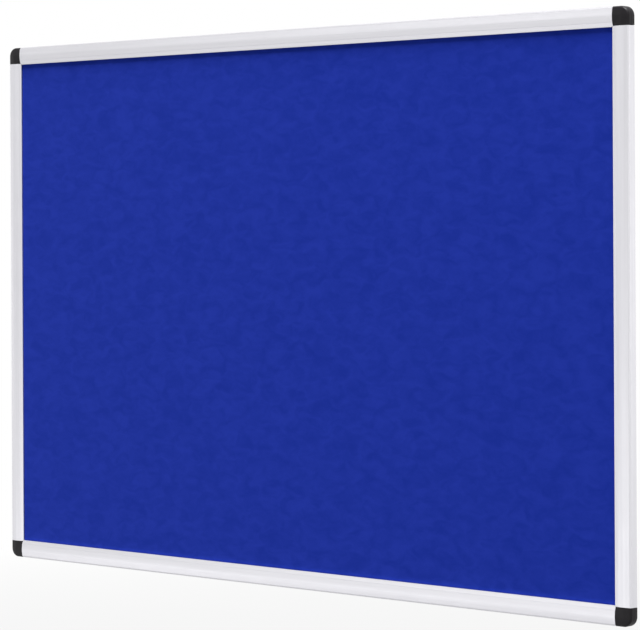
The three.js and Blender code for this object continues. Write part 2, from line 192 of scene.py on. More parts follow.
class CornerSizes(bpy.types.PropertyGroup):
    """The moulded corner: its base on the wall and the cover over it"""
    size: size("Size", "Side of the corner piece", cover_high.x - cover_low.x)
    radius: size("Radius", "Radius of the outer corner", 0.010)
    joint_gap: size("Joint gap", "Gap between a rail's end and the corner", 0.0003)
    mitre_gap: size("Mitre gap", "Gap between the two lips' mitres", 0.0003)
    base_height: size("Base height", "Height of the base over the wall", 0.0054)
    base_wall: size("Base wall", "Outer wall of the base's pocket", 0.0024)
    inner_wall: size("Inner wall", "Wall between the pocket and an arm", 0.0018)
    floor: size("Floor", "Floor of the pocket", 0.0016)
    rim_height: size("Rim height", "Height of the rim inside the cover", 0.001)
    notch_wall: size("Notch wall", "Wall between the pocket and the panel's corner", 0.0016)
    cover_wall: size("Cover wall", "Side wall of the cover", 0.0012)
    cover_top: size("Cover top", "Top of the cover", 0.0013)
    fit: size("Fit", "Gap between base and cover", 0.0003)
    ease: size("Ease", "Radius of the moulding's small edges", 0.0002)


class ArmSizes(bpy.types.PropertyGroup):
    """The arms that plug the corner into its rails"""
    length: size("Length", "Length of an arm past the corner", 0.044)
    fit: size("Fit", "Gap between an arm and its rail", 0.0003)
    cores: IntProperty(name="Cores", description="Pockets in an arm", default=3, min=1)
    rib: size("Rib", "Rib between two pockets", 0.0024)
    skin: size("Skin", "Wall round the pockets", 0.002)
    tip: size("Tip", "Length of the drawn-in tip", 0.005)
    tip_share: share("Tip share", "Size of the tip's end as a share of the arm", 0.86)


class HoleSizes(bpy.types.PropertyGroup):
    """The wall screw's hole in a corner base"""
    from_edge: size("From edge", "Distance of the hole from both outer edges", 0.0086)
    radius: size("Radius", "Radius of the hole", 0.0025)
    sink_radius: size("Sink radius", "Radius of the countersink's mouth", 0.0043)
    boss_radius: size("Boss radius", "Radius of the boss round the hole", 0.0052)
    boss_height: size("Boss height", "Height of the boss over the wall", 0.004)


class LegSizes(bpy.types.PropertyGroup):
    """The legs that hold a cover in its base"""
    width: size("Width", "Width of a leg", 0.0046)
    thickness: size("Thickness", "Thickness of a leg", 0.0012)
    from_edge: size("From edge", "Distance of a leg's middle from the outer edge", 0.0064)
    floor_gap: size("Floor gap", "Gap between a leg's foot and the pocket's floor", 0.0008)
    snap_radius: size("Snap radius", "Radius of the snap ridge", 0.0005)
    snap_proud: size("Snap proud", "How far the ridge stands out of the leg", 0.0002)
    snap_level: size("Snap level", "Height of the ridge over the pocket's floor", 0.0026)
    snap_end: size("Snap end", "How far the ridge stops short of the leg's sides", 0.0005)


class ScrewSizes(bpy.types.PropertyGroup):
    """The countersunk screws that hold the rails to the arms, driven from behind"""
    radius: size("Radius", "Radius over the thread", 0.00145)
    length: size("Length", "Overall length", 0.0065)
    tip: size("Tip", "Length of the point", 0.0018)
    head_radius: size("Head radius", "Radius of the head", 0.0027)
    head_height: size("Head height", "Height of the head", 0.0015)
    head_edge: size("Head edge", "Thickness of the head's rim", 0.00025)
    sunk: size("Sunk", "How far the head lies below the rail's back", 0.00015)
    fit: size("Fit", "Gap round the screw", 0.0003)
    pitch: size("Pitch", "Pitch of the thread", 0.0011)
    thread: size("Thread", "Depth of the thread", 0.0003)
    recess_reach: size("Recess reach", "Reach of the cross recess from the middle", 0.0014)
    recess_width: size("Recess width", "Width of a blade of the recess", 0.00048)
    recess_depth: size("Recess depth", "Depth of the recess", 0.0011)
    recess_share: share("Recess share", "Size of the recess's foot as a share of its mouth", 0.42)


class Finishes(bpy.types.PropertyGroup):
    """Colours and gloss of the materials"""
    aluminium: colour("Aluminium", "Satin anodised aluminium", (0.612, 0.607, 0.637))
    aluminium_gloss: share("Aluminium roughness", "Roughness of the anodised face", 0.38)
    plastic: colour("Plastic", "Black moulded plastic", (0.0085, 0.0075, 0.009))
    plastic_gloss: share("Plastic roughness", "Roughness of the moulded plastic", 0.42)
    # The felt's light and dark blues are partly its own random unevenness and partly painted light:
    # the lighter blue stands in for the fibres' sheen, the darker blue for shade between the
    # fibres.
    felt: colour("Felt", "Blue of the felt", (0.0104, 0.0290, 0.326))
    felt_dark_and_shade: colour("Felt dark", "Blue between the felt's fibres", (0.0062, 0.0236, 0.299))
    fibreboard: colour("Fibreboard", "Soft fibreboard", (0.36, 0.25, 0.15))
    galvanised: colour("Galvanised steel", "Galvanised sheet behind the panel", (0.52, 0.54, 0.56))
    zinc: colour("Zinc plate", "Plate of the rear screws", (0.70, 0.71, 0.73))


class StageSizes(bpy.types.PropertyGroup):
    """Camera, lamps and floor"""
    azimuth: angle("Azimuth", "Turn of the camera towards the board's right", 42.435)
    roll: angle("Roll", "Turn of the camera about its own line of sight", -0.281)
    camera_side: size("Camera side", "Camera's distance to the right of the board's middle", 2.0277)
    camera_back: size("Camera back", "Camera's distance in front of the wall", 2.1772)
    camera_height: size("Camera height", "Camera's height over the board's middle", 0.0908)
    focal_pixels: number("Focal length", "In pixels of the photograph", 2767.0)
    horizon_pixel: number("Horizon", "Row of the photograph's horizon", 223.85)
    floor_drop: size("Floor drop", "How far the floor lies below the board", 0.30)
    floor_radius: size("Floor radius", "Radius of the floor", 14.0)
    ambient: number("Ambient", "Strength of the plain light all round", 0.38)


class NoticeBoard(bpy.types.PropertyGroup):
    """All sizes and finishes of the notice board"""
    panel: PointerProperty(type=PanelSizes)
    rail: PointerProperty(type=RailSizes)
    corner: PointerProperty(type=CornerSizes)
    arm: PointerProperty(type=ArmSizes)
    hole: PointerProperty(type=HoleSizes)
    leg: PointerProperty(type=LegSizes)
    screw: PointerProperty(type=ScrewSizes)
    finish: PointerProperty(type=Finishes)
    stage: PointerProperty(type=StageSizes)


# Outlines


def arc(centre, radius, start, end, steps):
    """Points on an arc, with its angles in degrees."""
    angles = [math.radians(start + (end - start) * i / steps) for i in range(steps + 1)]
    return [(centre[0] + radius * math.cos(t), centre[1] + radius * math.sin(t)) for t in angles]


def counter_clockwise(points):
    """The closed outline, turned round if it runs clockwise."""
    pairs = zip(points, points[1:] + points[:1])
    area = sum(x0 * y1 - x1 * y0 for (x0, y0), (x1, y1) in pairs)
    return points if area > 0 else points[::-1]


def neighbours(points):
    """Each point of a closed outline, with the way back to the one before and on to the next."""
    spots = [Vector(point) for point in points]
    for before, here, after in zip(spots[-1:] + spots, spots, spots[1:] + spots[:1]):
        yield here, before - here, after - here


def inset(points, distance):
    """A closed counter-clockwise outline moved in by a distance, each corner along its mitre."""
    moved = []
    for here, back, on in neighbours(points):
        back.normalize()
        on.normalize()
        left = Vector((back.y - on.y, on.x - back.x))
        moved.append(tuple(here + left * (distance / (1 - back.dot(on)))))
    return moved


def softened(points, radius, sharp_from=math.inf):
    """A closed outline, made counter-clockwise, with a small round at each sharp corner.

    Corners from a place on the first axis onwards stay sharp.
    """
    points = counter_clockwise(points)
    soft = []
    for point, (corner, back, on) in zip(points, neighbours(points)):
        turn = math.pi - back.angle(on)
        if turn < SHARP_TURN or corner.x >= sharp_from or not radius:
            soft.append(point)
            continue
        room = min(back.length, on.length) / ROUNDS_ON_EDGE
        reach = min(radius * math.tan(turn / 2), room)
        inward = (back.normalized() + on.normalized()).normalized()
        centre = corner + inward * (reach / math.sin(turn / 2))
        spoke = corner + back.normalized() * reach - centre
        side = -1 if back.cross(on) > 0 else 1
        for k in range(EASE_STEPS + 1):
            soft.append(tuple(centre + Matrix.Rotation(side * turn * k / EASE_STEPS, 2) @ spoke))
    return soft


def eased_levels(low, high, ease):
    """(inset, level) pairs from one end of a solid to the other, with a small round at each end."""
    if not ease:
        return [(0.0, low), (0.0, high)]
    quarter = [math.pi / 2 * k / EASE_STEPS for k in range(EASE_STEPS + 1)]
    rise = [(ease * (1 - math.sin(t)), low + ease * (1 - math.cos(t))) for t in quarter]
    return rise + [(step, low + high - level) for step, level in reversed(rise)]


# Meshes


def mesh_of(name, points, faces):
    """A closed mesh with its shared points merged and its faces pointing out."""
    mesh = bpy.data.meshes.new(name)
    mesh.from_pydata(points, [], faces)
    shape = bmesh.new()
    shape.from_mesh(mesh)
    bmesh.ops.remove_doubles(shape, verts=shape.verts, dist=WELD)
    bmesh.ops.dissolve_degenerate(shape, edges=shape.edges, dist=WELD)
    bmesh.ops.recalc_face_normals(shape, faces=shape.faces)
    shape.to_mesh(mesh)
    shape.free()
    return mesh


def new_object(name, data):
    """An object in the scene that shows some data."""
    made = bpy.data.objects.new(name, data)
    bpy.context.scene.collection.objects.link(made)
    return made


def bands(count, lines, closed=True):
    """Faces between lines of points, each with the same count."""
    faces = []
    for first in range(0, (lines - 1) * count, count):
        for j in range(count if closed else count - 1):
            k = (j + 1) % count
            faces.append((first + j, first + k, first + count + k, first + count + j))
    return faces


def loft(name, rings):
    """A solid through rings of points that match one to one, with a flat face on each end."""
    count = len(rings[0])
    points = [point for ring in rings for point in ring]
    ends = [tuple(range(count)), tuple(range(len(points) - count, len(points)))]
    return new_object(name, mesh_of(name, points, bands(count, len(rings)) + ends))


def prism(name, plan, low, high, ease):
    """An (a, b) plan that stands out from the wall between two heights."""
    plan = softened(plan, ease * FILLET)
    levels = eased_levels(low, high, ease)
    return loft(name, [[(a, -v, b) for a, b in inset(plan, step)] for step, v in levels])


def bar(name, section, start, end, ease):
    """A (u, v) section that runs along X between two places."""
    section = softened(section, ease * FILLET)
    levels = eased_levels(start, end, ease)
    return loft(name, [[(x, -v, u) for u, v in inset(section, step)] for step, x in levels])


def lathe(name, outline, a, b):
    """A (radius, v) outline revolved on an axis that stands out from the wall."""
    turns = [math.tau * k / HOLE_SEGMENTS for k in range(HOLE_SEGMENTS)]
    return loft(name, [
        [(a + radius * math.cos(t), -v, b + radius * math.sin(t)) for t in turns]
        for radius, v in outline
    ])


def across_diagonal(piece):
    """A copy with a and b swapped, for the corner's other arm or leg."""
    twin = new_object(piece.name, piece.data.copy())
    swap = Matrix(((0, 0, 1, 0), (0, 1, 0, 0), (1, 0, 0, 0), (0, 0, 0, 1)))
    twin.data.transform(swap)
    twin.data.flip_normals()
    return twin


def combine(target, tool, operation):
    """Joins a solid to the target or cuts it away, and removes it."""
    change = target.modifiers.new(operation, "BOOLEAN")
    change.operation = operation
    change.object = tool
    change.solver = "MANIFOLD"
    changed = target.evaluated_get(bpy.context.evaluated_depsgraph_get())
    made = bpy.data.meshes.new_from_object(changed)
    target.modifiers.clear()
    used = [target.data, tool.data]
    target.data = made
    bpy.data.objects.remove(tool)
    for mesh in used:
        bpy.data.meshes.remove(mesh)
    return target


def join(target, tool):
    return combine(target, tool, "UNION")


def cut(target, tool):
    return combine(target, tool, "DIFFERENCE")


def both_ways(change, target, tool):
    """Joins or cuts a solid and its twin across the corner's diagonal."""
    twin = across_diagonal(tool)
    return change(change(target, tool), twin)


def smooth(mesh):
    """Smooth shading, apart from edges that turn sharply."""
    mesh.polygons.foreach_set("use_smooth", [True] * len(mesh.polygons))
    mesh.set_sharp_from_angle(angle=SMOOTH_TURN)


def taken(made):
    """The mesh of a finished solid, whose object is removed."""
    mesh = made.data
    bpy.data.objects.remove(made)
    smooth(mesh)
    return mesh


def coat(mesh, finish):
    """Gives a mesh its one material."""
    mesh.materials.clear()
    mesh.materials.append(finish)


def dressed(name, mesh, place, finish, body, node):
    """A visible piece in its place, which rides on a body and stands for a node."""
    piece = new_object(name, mesh)
    piece.matrix_world = place
    coat(mesh, finish)
    weighted = piece.modifiers.new("Weighted normals", "WEIGHTED_NORMAL")
    weighted.keep_sharp = True
    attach(piece, body)
    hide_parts(node)
    return piece


def edge_place(board, turn, way):
    """The frame of a side or corner: turned about Y, with its origin on the board's edge."""
    spin = Matrix.Rotation(turn * math.pi / 2, 4, "Y")
    out = spin @ Vector(way)
    reach = (round(out.x) * board.panel.width / 2, 0.0, round(out.z) * board.panel.height / 2)
    return Matrix.Translation(reach) @ spin


def side_length(board, turn):
    return board.panel.height if turn % 2 else board.panel.width


# Rail section


def chamber_end(rail):
    return rail.wall + rail.chamber


def channel_start(rail):
    return chamber_end(rail) + rail.wall


def bevel_start(rail):
    return rail.width - rail.bevel


def groove_start(rail):
    return bevel_start(rail) - rail.groove_width


def nose_foot(board):
    return board.panel.felt_face + board.rail.nose_gap


def nose_top(board):
    return nose_foot(board) + board.rail.nose_height


def face_height(rail, u):
    """Height of the rail's face, which falls from its crown to the edge and to the bevel."""
    if u < rail.crown:
        part = (rail.crown - u) / (rail.crown - rail.edge_radius)
        return rail.depth - rail.outer_fall * min(part, 1.0) ** rail.fall_power
    part = (u - rail.crown) / (groove_start(rail) - rail.crown)
    return rail.depth - rail.inner_fall * part ** rail.fall_power


def face_line(rail, offset, end):
    """Points across the face, from the side wall to short of the groove, sunk by an offset."""
    centre = (rail.edge_radius, face_height(rail, rail.edge_radius) - rail.edge_radius)
    points = arc(centre, rail.edge_radius - offset, 180, 90, ARC_STEPS)
    for start, stop in [(rail.edge_radius, rail.crown), (rail.crown, end)]:
        for i in range(1, FLANK_STEPS + 1):
            u = start + (stop - start) * i / FLANK_STEPS
            points.append((u, face_height(rail, u) - offset))
    return points


def bevel_height(board, u):
    """Height of the bevel, which falls from the groove to the nose."""
    rail = board.rail
    top = face_height(rail, groove_start(rail)) - rail.groove_depth * GROOVE_FOOT
    part = (u - bevel_start(rail)) / (rail.width - rail.nose_round - bevel_start(rail))
    return top + part * (nose_top(board) - top)


def lip_line(board):
    """From the groove at the foot of the face, down the bevel and round the nose on the felt."""
    rail = board.rail
    top = face_height(rail, groove_start(rail))
    points = []
    for i in range(1, LIP_STEPS + 1):
        t = i / LIP_STEPS
        dip = rail.groove_depth * (GROOVE_FOOT * t + GROOVE_BOW * math.sin(math.pi * t))
        points.append((groove_start(rail) + rail.groove_width * t, top - dip))
    centre = (rail.width - rail.nose_round, nose_top(board) - rail.nose_round)
    points += arc(centre, rail.nose_round, 90, 0, LIP_STEPS)
    points.append((rail.width, nose_foot(board)))
    return points


def lip_underside(board):
    """Back along the lip's underside, from the turned-down nose to the channel."""
    rail = board.rail
    back = rail.width - rail.nose_width
    root = bevel_height(board, bevel_start(rail)) - rail.lip_thickness
    return [
        (back, nose_foot(board)),
        (back, bevel_height(board, back) - rail.lip_thickness),
        (bevel_start(rail), root),
        (channel_start(rail), root),
    ]


def rail_outline(board):
    """The outside of the rail's section: face, lip, channel for the panel, rear lip and back."""
    rail = board.rail
    rear_end = rail.width - rail.rear_cutback
    return [
        (0.0, rail.back_chamfer),
        *face_line(rail, 0.0, groove_start(rail)),
        *lip_line(board),
        *lip_underside(board),
        (channel_start(rail), rail.rear_lip),
        (rear_end, rail.rear_lip),
        (rear_end, 0.0),
        (rail.back_chamfer, 0.0),
    ]


def chamber_outline(board, fit):
    """The hollow that a corner's arm plugs into, drawn in by a fit."""
    rail = board.rail
    low = rail.wall + fit
    high = chamber_end(rail) - fit
    return [(low, low), *face_line(rail, low, high), (high, low)]


def screw_along(board):
    """Distance of a rear screw from the corner, at the first rib between two pockets of the arm."""
    return cores_start(board) + core_pitch(board) - board.arm.rib / 2


def screw_across(board):
    return (board.rail.wall + chamber_end(board.rail)) / 2


def cores_start(board):
    return board.corner.size + board.corner.joint_gap + board.arm.rib


def core_pitch(board):
    arm = board.arm
    return (arm.length - board.corner.joint_gap - arm.rib) / arm.cores


def screw_hole(board, a, b):
    """The hole round a rear screw, opened past the rail's back."""
    screw = board.screw
    wide = screw.head_radius + screw.fit
    narrow = screw.radius + screw.fit
    outline = [
        (0.0, -screw.length),
        (wide, -screw.length),
        (wide, screw.sunk + screw.head_edge),
        (narrow, screw.sunk + screw.head_height),
        (narrow, screw.sunk + screw.length - screw.tip),
        (0.0, screw.sunk + screw.length + screw.fit),
    ]
    return lathe("screw_hole", outline, a, b)


def rail_end_cut(board, length, end):
    """What a rail's end loses: the corner's square, and past it the mitre of the two lips."""
    corner = board.corner
    over = corner.size
    square = corner.size + corner.joint_gap
    mitre = corner.mitre_gap * math.sqrt(0.5)
    past = board.rail.width + over
    plan = [
        (-over, -over), (square, -over), (square, square - mitre), (past, past - mitre),
        (past, past), (-over, past),
    ]
    placed = [(end * (a - length / 2), b) for a, b in plan]
    return prism("rail_end", placed, -over, board.rail.depth + over, 0.0)


def rail_mesh(board, turn):
    """One rail: the extruded section with eased long edges, sawn at its ends and drilled from
    behind.
    """
    length = side_length(board, turn)
    rail = board.rail
    body = bar("rail", rail_outline(board), -length / 2, length / 2, rail.ease)
    cut(body, bar("chamber", chamber_outline(board, 0.0), -length, length, rail.ease))
    for end in (-1, 1):
        cut(body, rail_end_cut(board, length, end))
        cut(body, screw_hole(board, end * (length / 2 - screw_along(board)), screw_across(board)))
    return taken(body)


# Corner base


def corner_plan(board, outer, inner, notch):
    """Plan of a corner pulled in by insets, with a notch that makes room for the panel's corner."""
    corner = board.corner
    far = corner.size - inner
    radius = corner.radius - outer
    inside = [(far, notch), (notch, notch), (notch, far)] if notch < far else [(far, far)]
    round_corner = arc((corner.radius, corner.radius), radius, 180, 270, CORNER_STEPS)
    return [*round_corner, (far, outer), *inside, (outer, far)]


def arm_core_cutter(board):
    """The pockets moulded into an arm's front, which leave ribs and a post for the screw."""
    arm, rail = board.arm, board.rail
    low = rail.wall + arm.fit + arm.skin
    high = chamber_end(rail) - arm.fit - arm.skin
    cutter = None
    for i in range(arm.cores):
        start = cores_start(board) + i * core_pitch(board)
        stop = start + core_pitch(board) - arm.rib
        plan = [(start, low), (stop, low), (stop, high), (start, high)]
        core = prism("core", plan, low, 2 * rail.depth, arm.fit)
        cutter = join(cutter, core) if cutter else core
    post = board.screw.radius + board.screw.fit + arm.skin
    low, high = -rail.depth, 3 * rail.depth
    outline = [(0.0, low), (post, low), (post, high), (0.0, high)]
    return cut(cutter, lathe("post", outline, screw_along(board), screw_across(board)))


def arm_solid(board):
    """One arm, which starts as the pocket's wall and ends in a drawn-in tip."""
    arm = board.arm
    section = softened(chamber_outline(board, arm.fit), board.corner.ease * FILLET)
    start = board.corner.size - board.corner.inner_wall
    end = start + arm.length + board.corner.inner_wall
    middle = Vector([(min(axis) + max(axis)) / 2 for axis in zip(*section)])

    def ring(x, scale):
        spots = [middle + (Vector(point) - middle) * scale for point in section]
        return [(x, -spot.y, spot.x) for spot in spots]

    return loft("arm", [ring(start, 1.0), ring(end - arm.tip, 1.0), ring(end, arm.tip_share)])


def leg_face(corner):
    """Where a leg's outer face stands, just clear of the pocket's inner wall."""
    return corner.size - corner.inner_wall - corner.fit


def snap_rod(board, grow):
    """A rod along a leg's outer face: a ridge on the leg and, grown by the fit, its groove."""
    leg, corner = board.leg, board.corner
    across = leg_face(corner) + leg.snap_proud - leg.snap_radius
    centre = (across, corner.floor + leg.snap_level)
    half = leg.width / 2 - leg.snap_end + grow
    circle = arc(centre, leg.snap_radius + grow, 0, 360, CORNER_STEPS)[:-1]
    rings = [[(a, -v, leg.from_edge + side * half) for a, v in circle] for side in (-1, 1)]
    return loft("snap", rings)


def corner_base_mesh(board):
    """The moulding on the wall: pocket, boss with the wall screw's hole, and two cored arms."""
    corner, hole, rail = board.corner, board.hole, board.rail
    notch = channel_start(rail)
    body = prism("base", corner_plan(board, 0.0, 0.0, notch), 0.0, corner.base_height, corner.ease)
    rim_plan = corner_plan(board, corner.cover_wall + corner.fit, corner.inner_wall / 2, notch)
    rim_top = corner.base_height + corner.rim_height
    join(body, prism("rim", rim_plan, corner.ease, rim_top, corner.ease))
    both_ways(join, body, arm_solid(board))
    pocket = corner_plan(board, corner.base_wall, corner.inner_wall, notch - corner.notch_wall)
    cut(body, prism("pocket", pocket, corner.floor, 2 * rail.depth, corner.ease))
    boss = [
        (0.0, corner.ease), (hole.boss_radius, corner.ease),
        (hole.boss_radius, hole.boss_height - corner.ease),
        (hole.boss_radius - corner.ease, hole.boss_height), (0.0, hole.boss_height),
    ]
    join(body, lathe("boss", boss, hole.from_edge, hole.from_edge))
    through = [
        (0.0, -rail.depth), (hole.radius, -rail.depth),
        (hole.radius, hole.boss_height - (hole.sink_radius - hole.radius)),
        (hole.sink_radius, hole.boss_height),
        (hole.sink_radius, 2 * rail.depth), (0.0, 2 * rail.depth),
    ]
    cut(body, lathe("wall_screw_hole", through, hole.from_edge, hole.from_edge))
    both_ways(cut, body, arm_core_cutter(board))
    both_ways(cut, body, screw_hole(board, screw_along(board), screw_across(board)))
    both_ways(cut, body, snap_rod(board, corner.fit))
    return taken(body)


# Corner cover


def cover_section(board):
    """The cover's shell as (distance from edge, height): face and lip outside, hollow inside."""
    corner, rail = board.corner, board.rail
    parting = corner.base_height + corner.fit
    line = [*face_line(rail, 0.0, groove_start(rail)), *lip_line(board)]
    under = [
        point for point in face_line(rail, corner.cover_top, channel_start(rail))
        if point[0] > corner.cover_wall
    ]
    return [
        (0.0, parting),
        *[point for point in line if point[0] < corner.size],
        (corner.size, bevel_height(board, corner.size)),
        (corner.size, bevel_height(board, corner.size) - corner.cover_top),
        (bevel_start(rail), bevel_height(board, bevel_start(rail)) - corner.cover_top),
        *reversed(under[1:]),
        (corner.cover_wall, under[0][1]),
        (corner.cover_wall, parting),
    ]


def round_corner(corner, turn, d):
    """The (a, b) of a distance from the edge, at an angle round the outer corner."""
    radius = max(corner.radius - d, 0.0)
    centre = max(corner.radius, d)
    return centre - radius * math.sin(turn), centre - radius * math.cos(turn)


def cover_shell(board):
    """The shell's section carried round the outer corner. Past its radius the path is a mitre."""
    corner = board.corner
    section = softened(cover_section(board), corner.ease * FILLET, corner.size)
    rings = [[(corner.size, -v, d) for d, v in section]]
    for i in range(CORNER_STEPS + 1):
        turn = math.pi / 2 * i / CORNER_STEPS
        spots = [(*round_corner(corner, turn, d), v) for d, v in section]
        rings.append([(a, -v, b) for a, b, v in spots])
    rings.append([(d, -v, corner.size) for d, v in section])
    return loft("cover", rings)


def cover_leg(board):
    """One leg that hangs into the base's pocket, with its foot chamfered."""
    corner, leg, rail = board.corner, board.leg, board.rail
    foot = corner.floor + leg.floor_gap
    chamfer = leg.thickness / 2
    low, high = leg.from_edge - leg.width / 2, leg.from_edge + leg.width / 2
    head = face_height(rail, low) - corner.cover_top / 2
    section = [
        (low, foot + chamfer), (low + chamfer, foot), (high - chamfer, foot),
        (high, foot + chamfer), (high, head), (low, head),
    ]
    face = leg_face(corner)
    return bar("leg", section, face - leg.thickness, face, corner.ease)


def corner_cover_mesh(board):
    """The moulded cover: a shell that carries the rails' section round the corner, on two legs."""
    body = cover_shell(board)
    both_ways(join, body, cover_leg(board))
    both_ways(join, body, snap_rod(board, 0.0))
    return taken(body)


# Rear screw


def screw_rings(screw):
    """Rings from the head, which faces the wall, along the rolled thread to the point."""
    core = screw.radius - screw.thread
    turns = [math.tau * k / SCREW_SEGMENTS for k in range(SCREW_SEGMENTS)]
    head = [
        (0.0, 0.0),
        (screw.head_radius - screw.head_edge / 4, 0.0),
        (screw.head_radius, screw.head_edge / 4),
        (screw.head_radius, screw.head_edge),
        (core, screw.head_height),
    ]
    rings = [[(r * math.cos(t), -v - screw.sunk, r * math.sin(t)) for t in turns] for r, v in head]
    for i in range(1, THREAD_STEPS + 1):
        level = screw.head_height + (screw.length - screw.head_height) * i / THREAD_STEPS
        taper = min(1.0, max(0.0, (screw.length - level) / screw.tip)) ** POINT_POWER
        ring = []
        for t in turns:
            phase = (level / screw.pitch - t / math.tau) % 1.0
            crest = max(0.0, 1.0 - abs(phase - 0.5) / FLANK_SHARE)
            radius = (core + screw.thread * crest) * taper
            ring.append((radius * math.cos(t), -level - screw.sunk, radius * math.sin(t)))
        rings.append(ring)
    return rings


def cross_recess(screw):
    """What the driver's cross leaves in the head, narrower towards its foot."""
    reach, half = screw.recess_reach, screw.recess_width / 2
    plan = []
    for k in range(4):
        spin = Matrix.Rotation(k * math.pi / 2, 2)
        for point in [(reach, -half), (reach, half), (half, half)]:
            plan.append(tuple(spin @ Vector(point)))
    plan = softened(plan, half / 2)
    foot = screw.sunk + screw.recess_depth
    levels = [(1.0, -screw.recess_depth), (1.0, screw.sunk), (screw.recess_share, foot)]
    return loft("recess", [[(a * scale, -v, b * scale) for a, b in plan] for scale, v in levels])


def screw_mesh(board):
    """A countersunk screw with a rolled thread and a cross recess, its head towards the wall."""
    body = loft("screw", screw_rings(board.screw))
    return taken(cut(body, cross_recess(board.screw)))


# Felt


def felt_stations(board, length):
    """Places of the felt's mesh lines along one side, closer together under and beside the rail."""
    panel, rail = board.panel, board.rail
    near = [felt_low.x - board_low.x, bevel_start(rail), rail.width - rail.nose_round]
    near += [rail.width + panel.felt_swell * k / SWELL_STEPS for k in range(SWELL_LINES)]
    last = near[-1]
    count = round((length - 2 * last) / panel.felt_cell)
    middle = [last + (length - 2 * last) * i / count for i in range(1, count)]
    far = [length - place for place in reversed(near)]
    return [place - length / 2 for place in near + middle + far]


def felt_mesh(board):
    """The felt facing: one closed sheet that swells a little beside the rails and lies unevenly."""
    panel, rail = board.panel, board.rail
    columns = felt_stations(board, panel.width)
    rows = felt_stations(board, panel.height)
    visible = Vector((panel.width / 2 - rail.width, panel.height / 2 - rail.width))
    swell = panel.felt_swell

    def face_level(x, z):
        inside = min(visible.x - abs(x), visible.y - abs(z))
        if inside < 0:
            return panel.felt_face
        spot = Vector((x, 0.0, z)) / panel.ripple_length
        ripple = noise.fractal(spot, *RIPPLE_LAYERS) * panel.felt_ripple
        fade = 1 - math.exp(-inside / panel.felt_cell)
        beside = panel.felt_lift * math.exp(-((inside - swell / 2) / swell) ** 2)
        return panel.felt_face + beside + ripple * fade

    front = [(x, -face_level(x, z), z) for x in columns for z in rows]
    back = [(x, -panel.felt_back, z) for x in columns for z in rows]
    count, first = len(rows), len(front)
    faces = bands(count, len(columns), closed=False)
    faces += [tuple(first + i for i in reversed(face)) for face in faces]
    grid = [range(start, start + count) for start in range(0, first, count)]
    rim = [*grid[0], *[line[-1] for line in grid[1:]]]
    rim += [*grid[-1][-2::-1], *[line[0] for line in grid[-2:0:-1]]]
    for spot, after in zip(rim, rim[1:] + rim[:1]):
        faces.append((spot, after, first + after, first + spot))
    mesh = mesh_of("felt", front + back, faces)
    smooth(mesh)
    return mesh


# Materials

WHITE = (1.0, 1.0, 1.0, 1.0)
# Stretch of a texture's coordinates along each axis
EVEN = (1.0, 1.0, 1.0)
DIE_LINES = (4.0, 3200.0, 3200.0)
DIE_BANDS = (6.0, 420.0, 420.0)
FELT_PATCHES = (1.0, 1.0, 1.8)
PRESSED_LAYERS = (1.0, 3.0, 1.0)
ROLLED_STREAKS = (2.0, 1.0, 900.0)


def shaded(base, factor):
    return tuple(min(1.0, part * factor) for part in base)


class Nodes:
    """A short way to write the nodes of a material or of the world."""

    def __init__(self, owner):
        self.owner = owner
        owner.use_nodes = True
        owner.node_tree.nodes.clear()

    def add(self, kind, inputs=(), out=0, **settings):
        """Adds a node, sets or links its inputs, and gives one of its outputs."""
        tree = self.owner.node_tree
        made = tree.nodes.new("ShaderNode" + kind)
        for name, value in settings.items():
            setattr(made, name, value)
        for name, value in dict(inputs).items():
            if isinstance(value, bpy.types.NodeSocket):
                tree.links.new(value, made.inputs[name])
            else:
                made.inputs[name].default_value = value
        return made.outputs[out] if made.outputs else None

    def coordinates(self, stretch):
        """Object coordinates in metres, shifted by chance for each piece and then stretched."""
        place = self.add("TexCoord", out="Object")
        chance = self.add("ObjectInfo", out="Random")
        shift = self.add("CombineXYZ", {0: chance, 1: chance, 2: chance})
        moved = self.add("VectorMath", {0: place, 1: shift}, operation="ADD")
        return self.add("VectorMath", {0: moved, 1: stretch}, operation="MULTIPLY")

    def noise(self, place, scale, detail, roughness=0.5, distortion=0.0, out="Fac"):
        return self.add("TexNoise", {
            "Vector": place, "Scale": scale, "Detail": detail,
            "Roughness": roughness, "Distortion": distortion,
        }, out)

    def spread(self, value, low=0.0, high=1.0, start=0.3, end=0.7):
        """Maps a texture's middle range to a range of values."""
        return self.add("MapRange", {
            "Value": value, "From Min": start, "From Max": end, "To Min": low, "To Max": high,
        })

    def math(self, operation, a, b):
        return self.add("Math", {0: a, 1: b}, operation=operation)

    def mix(self, a, b, part, kind="FLOAT"):
        """Mixes a part of b into a. The node has a pair of inputs for each kind."""
        out = ["FLOAT", "VECTOR", "RGBA"].index(kind)
        pair = 2 + 2 * out
        return self.add("Mix", {0: part, pair: a, pair + 1: b}, out, data_type=kind)

    def tint(self, part, dark, light):
        return self.mix((*dark, 1.0), (*light, 1.0), part, "RGBA")

    def shades(self, part, base, dark, light):
        """A colour between two shades of its own."""
        return self.tint(part, shaded(base, dark), shaded(base, light))

    def bump(self, height, strength, distance):
        return self.add("Bump", {"Height": height, "Strength": strength, "Distance": distance})

    def shown(self, output, shader):
        """The material or world, with a shader on its output."""
        self.add(output, {"Surface": shader})
        return self.owner

    def principled(self, sockets):
        return self.shown("OutputMaterial", self.add("BsdfPrincipled", sockets))


